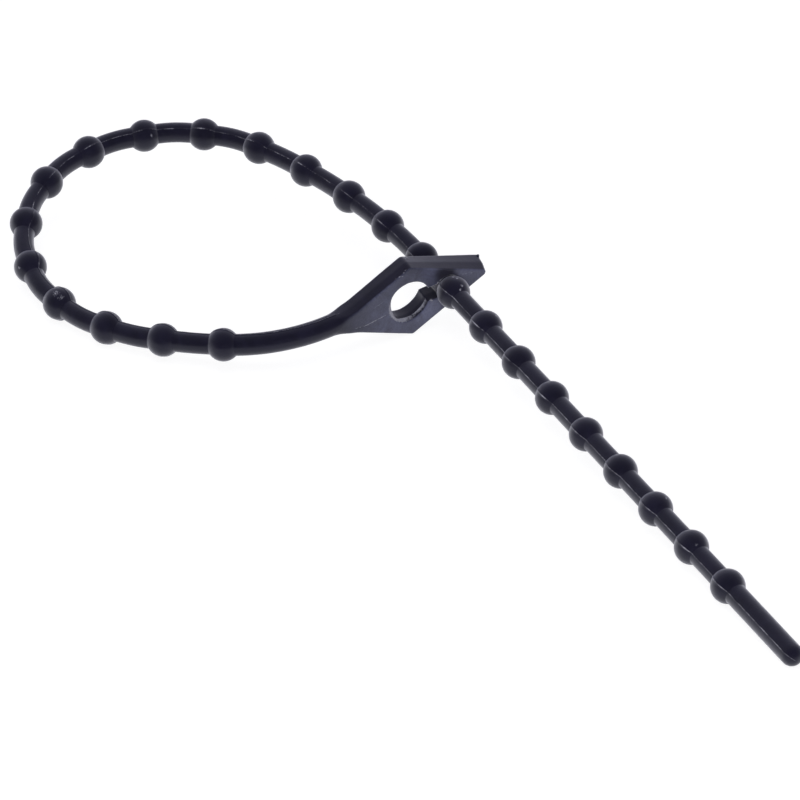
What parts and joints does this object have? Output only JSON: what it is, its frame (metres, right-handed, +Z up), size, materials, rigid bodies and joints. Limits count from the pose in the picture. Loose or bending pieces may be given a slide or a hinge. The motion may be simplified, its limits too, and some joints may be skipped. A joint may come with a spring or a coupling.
{
  "type": "cable tie",
  "caption": "Beaded cable tie moulded in one piece: a round strap of small spheres closed to a loop through the keyhole of its flat, lozenge-shaped head, with a straight tail.",
  "frame": {"origin": "centre of the bounding box in X and Y, on the surface that the tie rests on", "axes": "+X along the straight tail towards its tip, +Z up from the surface, and +Y across the loop from its near side to the side that the tail leaves from"},
  "size_m": [0.0982, 0.0378, 0.0083],
  "materials": {
    "black_plastic": "satin moulded black with a faint blue tint"
  },
  "bodies": {
    "root": {"cable_tie": "black_plastic"}
  },
  "joints": []
}
